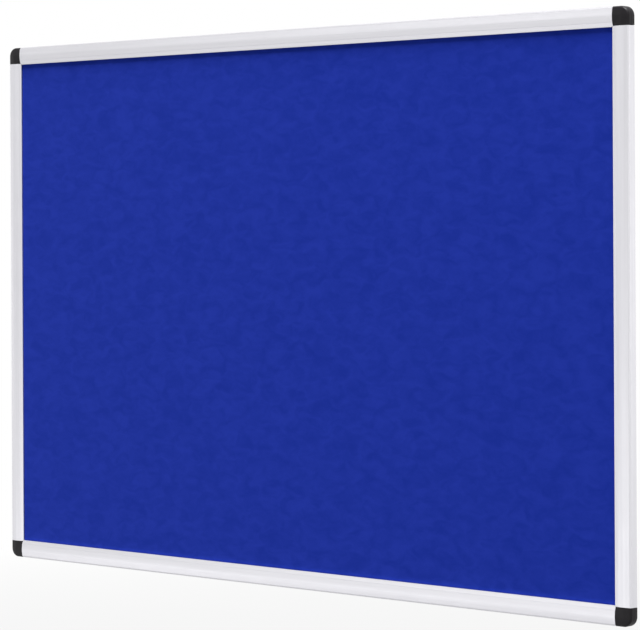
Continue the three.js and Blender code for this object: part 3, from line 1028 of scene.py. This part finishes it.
def anodised_aluminium(board):
    """Satin clear anodising over the fine lines that the extrusion die leaves along the rail."""
    gloss = board.finish.aluminium_gloss
    nodes = Nodes(bpy.data.materials.new("satin_anodised_aluminium"))
    lines = nodes.noise(nodes.coordinates(DIE_LINES), scale=1.0, detail=3.0, roughness=0.6)
    tone = nodes.spread(nodes.noise(nodes.coordinates(DIE_BANDS), scale=1.0, detail=2.0))
    smudges = nodes.noise(nodes.coordinates(EVEN), scale=38.0, detail=4.0)
    drawn = nodes.spread(lines, low=gloss - 0.04, high=gloss + 0.05)
    return nodes.principled({
        "Metallic": 1.0,
        "Base Color": nodes.shades(tone, board.finish.aluminium, dark=0.975, light=1.02),
        "Roughness": nodes.math("ADD", drawn, nodes.spread(smudges, low=-0.02, high=0.03)),
        "Normal": nodes.bump(lines, strength=0.12, distance=0.00002),
    })


def black_plastic(board):
    """Black moulded plastic with a fine spark-eroded grain."""
    gloss = board.finish.plastic_gloss
    nodes = Nodes(bpy.data.materials.new("black_moulded_plastic"))
    place = nodes.coordinates(EVEN)
    grain = nodes.noise(place, scale=5200.0, detail=3.0, roughness=0.6)
    cloud = nodes.noise(place, scale=160.0, detail=3.0)
    tone = nodes.spread(cloud)
    return nodes.principled({
        "Specular IOR Level": 0.16,
        "Base Color": nodes.shades(tone, board.finish.plastic, dark=0.85, light=1.2),
        "Roughness": nodes.spread(cloud, low=gloss - 0.05, high=gloss + 0.06),
        "Normal": nodes.bump(grain, strength=0.35, distance=0.00003),
    })


def blue_felt(board):
    """Needled felt: matted fibres that lie every way, with a soft sheen, and an uneven tone that is
    partly painted sheen and shade.
    """
    finish = board.finish
    nodes = Nodes(bpy.data.materials.new("blue_needle_felt"))
    place = nodes.coordinates(EVEN)
    fibres = nodes.noise(place, scale=900.0, detail=6.0, roughness=0.7, distortion=1.6)
    tufts = nodes.noise(place, scale=260.0, detail=5.0, roughness=0.65, distortion=2.2)
    patches = nodes.noise(
        nodes.coordinates(FELT_PATCHES), scale=50.0, detail=4.0, roughness=0.55, distortion=0.8,
    )
    matted = nodes.mix(fibres, tufts, part=0.5)
    # Random unevenness mixed with painted light: the lighter end paints the fibres' sheen, and the
    # darker end, which partly follows where the fibres' bump dips, paints shade between them.
    tone = nodes.spread(nodes.mix(matted, patches, part=0.6), start=0.40, end=0.60)
    return nodes.principled({
        "Specular IOR Level": 0.08,
        "Roughness": 0.95,
        "Sheen Weight": 0.12,
        "Sheen Roughness": 0.45,
        "Sheen Tint": (0.35, 0.45, 1.0, 1.0),
        "Base Color": nodes.tint(tone, finish.felt_dark_and_shade, shaded(finish.felt, factor=1.08)),
        "Normal": nodes.bump(matted, strength=0.5, distance=0.0002),
    })


def soft_fibreboard(board):
    """Pressed wood fibre, brown and hairy."""
    nodes = Nodes(bpy.data.materials.new("pressed_soft_fibreboard"))
    place = nodes.coordinates(PRESSED_LAYERS)
    hairs = nodes.noise(place, scale=700.0, detail=6.0, roughness=0.7, distortion=3.0)
    cloud = nodes.noise(place, scale=60.0, detail=3.0)
    tone = nodes.spread(nodes.mix(hairs, cloud, part=0.35))
    return nodes.principled({
        "Specular IOR Level": 0.2,
        "Roughness": 0.9,
        "Base Color": nodes.shades(tone, board.finish.fibreboard, dark=0.7, light=1.2),
        "Normal": nodes.bump(hairs, strength=0.6, distance=0.0002),
    })


def galvanised_steel(board):
    """Zinc-dipped sheet, with spangles of slightly different tone and gloss."""
    base = board.finish.galvanised
    nodes = Nodes(bpy.data.materials.new("galvanised_steel_sheet"))
    place = nodes.coordinates(EVEN)
    warp = nodes.noise(place, scale=150.0, detail=3.0, out="Color")
    bent = nodes.mix(place, warp, part=0.0015, kind="VECTOR")
    spangle = nodes.add("TexVoronoi", {"Vector": bent, "Scale": 130.0}, "Color")
    frost = nodes.noise(place, scale=700.0, detail=4.0, roughness=0.65)
    tone = nodes.mix(nodes.add("SeparateColor", {"Color": spangle}), frost, part=0.3)
    streaks = nodes.noise(nodes.coordinates(ROLLED_STREAKS), scale=1.0, detail=3.0)
    rough = nodes.spread(tone, low=0.36, high=0.46, start=0.0, end=1.0)
    return nodes.principled({
        "Metallic": 1.0,
        "Base Color": nodes.shades(tone, base, dark=0.92, light=1.06),
        "Roughness": nodes.math("ADD", rough, nodes.spread(streaks, low=-0.04, high=0.04)),
        "Normal": nodes.bump(streaks, strength=0.1, distance=0.00004),
    })


def zinc_plate(board):
    """Bright zinc plate on the small screws."""
    nodes = Nodes(bpy.data.materials.new("bright_zinc_plate"))
    cloud = nodes.noise(nodes.coordinates(EVEN), scale=900.0, detail=3.0)
    return nodes.principled({
        "Metallic": 1.0,
        "Base Color": nodes.shades(nodes.spread(cloud), board.finish.zinc, dark=0.9, light=1.05),
        "Roughness": nodes.spread(cloud, low=0.22, high=0.36),
    })


# Stage

# Greys of the floor: as it takes the lamps' light, and as it is seen
FLOOR_LIT = (0.1, 0.1, 0.1)
FLOOR_SEEN = (0.42, 0.42, 0.42)
# Name, place, width, height and power of each lamp. All face the middle of the board.
LAMPS = [
    ("top_lamp", (1.2, -1.3, 5.8), 4.0, 1.1, 900.0),
    ("front_lamp", (-2.07, -2.96, 1.17), 1.0, 1.0, 4.0),
    ("left_lamp", (-3.74, -0.66, 0.0), 1.0, 1.0, 3.9),
    ("right_lamp", (2.91, -2.44, 0.0), 1.0, 1.0, 4.4),
    ("low_lamp", (-0.3, -1.7, -0.45), 0.8, 0.5, 1.2),
    ("floor_lamp", (-0.4, -0.7, -0.57), 1.3, 0.4, 1.05),
    ("floor_side_lamp", (-1.2, -1.2, -0.57), 1.3, 0.5, 0.85),
    ("side_lamp", (4.0, 0.8, 0.3), 1.6, 1.6, 9.2),
    ("rear_lamp", (2.2, 2.8, 0.1), 2.4, 1.6, 6.0),
]


def seen_directly(nodes):
    """1 for camera, glossy and transmission rays, so that metal shows the background too."""
    camera, glossy, through = [
        nodes.add("LightPath", out=f"Is {kind} Ray")
        for kind in ("Camera", "Glossy", "Transmission")
    ]
    return nodes.math("MAXIMUM", nodes.math("MAXIMUM", camera, glossy), through)


def white_floor():
    """A pale floor that glows to white where it is seen, more so far out, and keeps a shadow."""
    nodes = Nodes(bpy.data.materials.new("pale_floor"))
    seen = seen_directly(nodes)
    plain = nodes.add("BsdfDiffuse", {"Color": nodes.tint(seen, FLOOR_LIT, FLOOR_SEEN)})
    bright = nodes.add("Emission", {"Color": WHITE, "Strength": 1.0})
    place = nodes.add("TexCoord", out="Object")
    distance = nodes.add("VectorMath", {0: place}, "Value", operation="LENGTH")
    glow = nodes.spread(distance, low=0.5, high=1.0, start=1.0, end=3.0)
    part = nodes.math("MULTIPLY", seen, glow)
    return nodes.shown("OutputMaterial", nodes.add("MixShader", {0: part, 1: plain, 2: bright}))


def make_floor(stage):
    """A round floor below the board."""
    rim = arc((0.0, 0.0), stage.floor_radius, 0, 360, HOLE_SEGMENTS)[:-1]
    mesh = bpy.data.meshes.new("floor")
    mesh.from_pydata([(x, y, 0.0) for x, y in rim], [], [tuple(range(len(rim)))])
    coat(mesh, white_floor())
    floor = new_object("floor", mesh)
    floor.location = (0.0, 0.0, board_low.z - stage.floor_drop)
    return floor


def make_world(ambient):
    """Even light from all round, which is plain white where it is seen."""
    nodes = Nodes(bpy.data.worlds.new("studio"))
    light = nodes.add("Background", {"Color": WHITE, "Strength": ambient})
    white = nodes.add("Background", {"Color": WHITE, "Strength": 1.0})
    mixed = nodes.add("MixShader", {0: seen_directly(nodes), 1: light, 2: white})
    bpy.context.scene.world = nodes.shown("OutputWorld", mixed)


def area_lamp(name, place, width, height, power):
    """A soft lamp that faces the middle of the board."""
    light = bpy.data.lights.new(name, "AREA")
    light.shape = "RECTANGLE"
    light.size, light.size_y = width, height
    light.energy = power
    lamp = new_object(name, light)
    lamp.location = place
    lamp.rotation_euler = (-Vector(place)).to_track_quat("-Z", "Y").to_euler()
    lamp.visible_camera = False


def make_camera(stage):
    """A level camera whose lens is shifted so that the horizon lies where the photograph's does."""
    lens = bpy.data.cameras.new("camera")
    lens.lens = lens.sensor_width * stage.focal_pixels / PHOTO_WIDTH
    lens.shift_y = (stage.horizon_pixel - PHOTO_HEIGHT / 2) / PHOTO_WIDTH
    camera = new_object("camera", lens)
    camera.location = (stage.camera_side, -stage.camera_back, stage.camera_height)
    level = Matrix.Rotation(stage.azimuth, 3, "Z") @ Matrix.Rotation(math.pi / 2, 3, "X")
    camera.rotation_euler = (level @ Matrix.Rotation(stage.roll, 3, "Z")).to_euler()
    bpy.context.scene.camera = camera


# Operators


class NOTICEBOARD_OT_rails(bpy.types.Operator):
    """Make the four aluminium rails"""
    bl_idname = "notice_board.rails"
    bl_label = "Rails"

    def execute(self, context):
        board = context.scene.notice_board
        finish = anodised_aluminium(board)
        meshes = [rail_mesh(board, turn) for turn in (0, 1)]
        for side, turn in SIDES:
            place = edge_place(board, turn, TO_SIDE)
            dressed(
                f"{side}_rail_extrusion", meshes[turn % 2], place, finish,
                "frame", f"{side}_rail",
            )
        return {"FINISHED"}


class NOTICEBOARD_OT_corner_bases(bpy.types.Operator):
    """Make the four corner bases with their arms"""
    bl_idname = "notice_board.corner_bases"
    bl_label = "Corner bases"

    def execute(self, context):
        board = context.scene.notice_board
        finish = black_plastic(board)
        mesh = corner_base_mesh(board)
        for corner, turn in CORNERS:
            place = edge_place(board, turn, TO_CORNER)
            dressed(
                f"{corner}_base_moulding", mesh, place, finish,
                "frame", f"{corner}_base",
            )
        return {"FINISHED"}


class NOTICEBOARD_OT_corner_covers(bpy.types.Operator):
    """Make the four corner covers, which pull off"""
    bl_idname = "notice_board.corner_covers"
    bl_label = "Corner covers"

    def execute(self, context):
        board = context.scene.notice_board
        finish = black_plastic(board)
        mesh = corner_cover_mesh(board)
        for corner, turn in CORNERS:
            place = edge_place(board, turn, TO_CORNER)
            dressed(
                f"{corner}_cover_moulding", mesh, place, finish,
                f"cover_{corner}", f"{corner}_cover",
            )
        return {"FINISHED"}


class NOTICEBOARD_OT_rear_screws(bpy.types.Operator):
    """Make the eight screws that hold the rails from behind"""
    bl_idname = "notice_board.rear_screws"
    bl_label = "Rear screws"

    def execute(self, context):
        board = context.scene.notice_board
        finish = zinc_plate(board)
        mesh = screw_mesh(board)
        along, across = screw_along(board), screw_across(board)
        for corner, turn in CORNERS:
            for i, (a, b) in enumerate([(along, across), (across, along)], start=1):
                place = edge_place(board, turn, TO_CORNER) @ Matrix.Translation((a, 0.0, b))
                node = f"{corner}_screw_{i}"
                dressed(
                    f"{node}_threaded", mesh, place, finish,
                    "frame", node,
                )
        return {"FINISHED"}


class NOTICEBOARD_OT_felt(bpy.types.Operator):
    """Make the felt facing"""
    bl_idname = "notice_board.felt"
    bl_label = "Felt"

    def execute(self, context):
        board = context.scene.notice_board
        felt = dressed(
            "felt_sheet", felt_mesh(board), Matrix.Identity(4), blue_felt(board),
            "frame", "felt_facing",
        )
        return {"FINISHED"}


class NOTICEBOARD_OT_panel_back(bpy.types.Operator):
    """Finish the fibreboard and the steel sheet behind the felt"""
    bl_idname = "notice_board.panel_back"
    bl_label = "Panel back"

    def execute(self, context):
        board = context.scene.notice_board
        coat(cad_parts["fibreboard_core"].data, soft_fibreboard(board))
        coat(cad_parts["backing_sheet"].data, galvanised_steel(board))
        return {"FINISHED"}


class NOTICEBOARD_OT_stage(bpy.types.Operator):
    """Make the floor, lamps, world and camera"""
    bl_idname = "notice_board.stage"
    bl_label = "Stage"

    def execute(self, context):
        stage = context.scene.notice_board.stage
        context.scene.view_settings.view_transform = "Standard"
        make_camera(stage)
        make_world(stage.ambient)
        make_floor(stage)
        for lamp in LAMPS:
            area_lamp(*lamp)
        return {"FINISHED"}


OPERATORS = [
    NOTICEBOARD_OT_rails,
    NOTICEBOARD_OT_corner_bases,
    NOTICEBOARD_OT_corner_covers,
    NOTICEBOARD_OT_rear_screws,
    NOTICEBOARD_OT_felt,
    NOTICEBOARD_OT_panel_back,
    NOTICEBOARD_OT_stage,
]


class NOTICEBOARD_PT_sidebar(bpy.types.Panel):
    """Lists the notice board's pieces and sizes"""
    bl_idname = "NOTICEBOARD_PT_sidebar"
    bl_label = "Notice Board"
    bl_space_type = "VIEW_3D"
    bl_region_type = "UI"
    bl_category = "Notice Board"

    def draw(self, context):
        board = context.scene.notice_board
        for operator in OPERATORS:
            self.layout.operator(operator.bl_idname)
        for name in board.bl_rna.properties.keys():
            group = getattr(board, name)
            if isinstance(group, bpy.types.PropertyGroup):
                box = self.layout.box()
                box.label(text=board.bl_rna.properties[name].name)
                for prop in group.bl_rna.properties.keys():
                    if prop not in ("rna_type", "name"):
                        box.prop(group, prop)


CLASSES = [
    PanelSizes, RailSizes, CornerSizes, ArmSizes, HoleSizes, LegSizes, ScrewSizes, Finishes,
    StageSizes, NoticeBoard, *OPERATORS, NOTICEBOARD_PT_sidebar,
]


def register():
    for cls in CLASSES:
        bpy.utils.register_class(cls)
    bpy.types.Scene.notice_board = PointerProperty(type=NoticeBoard)


def unregister():
    del bpy.types.Scene.notice_board
    for cls in reversed(CLASSES):
        bpy.utils.unregister_class(cls)


def main():
    register()
    for operator in OPERATORS:
        group, name = operator.bl_idname.split(".")
        getattr(getattr(bpy.ops, group), name)()


if __name__ == "__main__":
    main()
